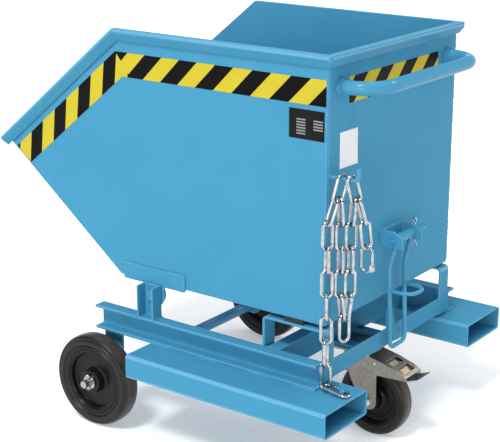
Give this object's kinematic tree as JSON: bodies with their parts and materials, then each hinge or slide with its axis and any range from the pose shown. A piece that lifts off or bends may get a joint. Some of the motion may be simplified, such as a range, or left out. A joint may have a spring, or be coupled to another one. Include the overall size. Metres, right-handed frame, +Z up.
{
  "type": "tipping box trolley",
  "caption": "Hand-pushed steel box trolley: a tipping bucket with a sloping spout on a frame with fork pockets, fixed front wheels, a braked swivel castor, push handle, latch and chain.",
  "frame": {"origin": "on the ground, in the middle of the trolley's bounding box", "axes": "+X to the rear (push handle and castor), -X to the pouring spout, +Y to the operator's right, +Z up"},
  "size_m": [1.1692, 0.882, 1.05],
  "materials": {
    "blue_paint": "semi-gloss powder coat",
    "zinc_steel": "bright zinc plated",
    "galvanised_steel": "passivated zinc, satin",
    "yellow_zinc": "yellow passivated zinc",
    "axle_steel": "drawn steel bar",
    "tyre_rubber": "solid black rubber",
    "buffer_rubber": "moulded black rubber",
    "black_plastic": "moulded, matt",
    "hazard_tape": "printed vinyl, yellow and black stripes",
    "plate_black": "printed metal plate, satin",
    "paper": "coated paper"
  },
  "bodies": {
    "chassis": {"side_beam_left": "blue_paint", "side_beam_right": "blue_paint", "fork_pocket_left": "blue_paint", "fork_pocket_right": "blue_paint", "front_posts": "blue_paint", "rear_supports": "blue_paint", "rubber_buffers": "buffer_rubber", "buffer_screws": "zinc_steel", "cross_channel": "blue_paint", "rear_cross_bar": "blue_paint", "castor_rails": "blue_paint", "axle_brackets": "blue_paint", "front_axle": "axle_steel", "axle_washers": "zinc_steel", "axle_split_pins": "zinc_steel", "pivot_bolts": "zinc_steel", "pivot_nuts": "zinc_steel", "latch_catch": "blue_paint", "chain_stud": "blue_paint", "castor_top_plate": "galvanised_steel", "castor_kingpin": "galvanised_steel", "castor_bolts": "zinc_steel", "castor_nuts": "zinc_steel"},
    "bucket": {"bucket_side_left": "blue_paint", "bucket_side_right": "blue_paint", "bucket_rear": "blue_paint", "bucket_floor": "blue_paint", "pivot_plates": "blue_paint", "pivot_bosses": "blue_paint", "push_handle": "blue_paint", "handle_collars": "blue_paint", "latch_bracket": "blue_paint", "latch_pin": "zinc_steel", "latch_split_pin": "zinc_steel", "chain_hook": "blue_paint", "safety_chain": "zinc_steel", "snap_hook_body": "zinc_steel", "tape_left": "hazard_tape", "tape_right": "hazard_tape", "tape_rear": "hazard_tape", "type_plate": "plate_black", "plate_rivets": "zinc_steel", "paper_label": "paper"},
    "latch": {"latch_bail": "blue_paint", "latch_grip": "blue_paint"},
    "wheel_left": {"front_tyre_left": "tyre_rubber", "front_rim_left": "black_plastic", "front_bearing_left": "zinc_steel"},
    "wheel_right": {"front_tyre_right": "tyre_rubber", "front_rim_right": "black_plastic", "front_bearing_right": "zinc_steel"},
    "castor_fork": {"castor_fork": "galvanised_steel", "castor_axle_bolt": "zinc_steel", "castor_brake_pin": "zinc_steel"},
    "castor_wheel": {"castor_tyre": "tyre_rubber", "castor_rim": "black_plastic", "castor_bearing": "zinc_steel"},
    "castor_brake": {"castor_brake_lever": "yellow_zinc", "castor_brake_shoe": "buffer_rubber"},
    "hook_gate": {"snap_hook_gate": "zinc_steel"}
  },
  "joints": [
    {"name": "bucket_tip", "type": "hinge", "parent": "chassis", "child": "bucket", "pos_m": [-0.05324, 0, 0.368], "axis": [0, -1, 0], "range_deg": [0, 60]},
    {"name": "latch_swing", "type": "hinge", "parent": "bucket", "child": "latch", "pos_m": [0.50776, 0, 0.555], "axis": [0, -1, 0], "range_deg": [-3, 32]},
    {"name": "wheel_left_roll", "type": "hinge", "parent": "chassis", "child": "wheel_left", "pos_m": [-0.18724, -0.3855, 0.125], "axis": [0, 1, 0], "continuous": true},
    {"name": "wheel_right_roll", "type": "hinge", "parent": "chassis", "child": "wheel_right", "pos_m": [-0.18724, 0.3855, 0.125], "axis": [0, 1, 0], "continuous": true},
    {"name": "castor_swivel", "type": "hinge", "parent": "chassis", "child": "castor_fork", "pos_m": [0.39976, 0, 0.2265], "axis": [0, 0, 1], "continuous": true},
    {"name": "castor_roll", "type": "hinge", "parent": "castor_fork", "child": "castor_wheel", "pos_m": [0.44176, 0, 0.1], "axis": [0, 1, 0], "continuous": true},
    {"name": "castor_brake_press", "type": "hinge", "parent": "castor_fork", "child": "castor_brake", "pos_m": [0.45776, 0, 0.2095], "axis": [0, 1, 0], "range_deg": [0, 5], "stiffness_Nm_per_rad": 5, "springref_deg": -5.73},
    {"name": "hook_gate_open", "type": "hinge", "parent": "bucket", "child": "hook_gate", "pos_m": [0.57533, -0.25995, 0.56091], "axis": [-0.0698, -0.9976, 0], "range_deg": [0, 25], "stiffness_Nm_per_rad": 0.05, "springref_deg": -11.46}
  ]
}
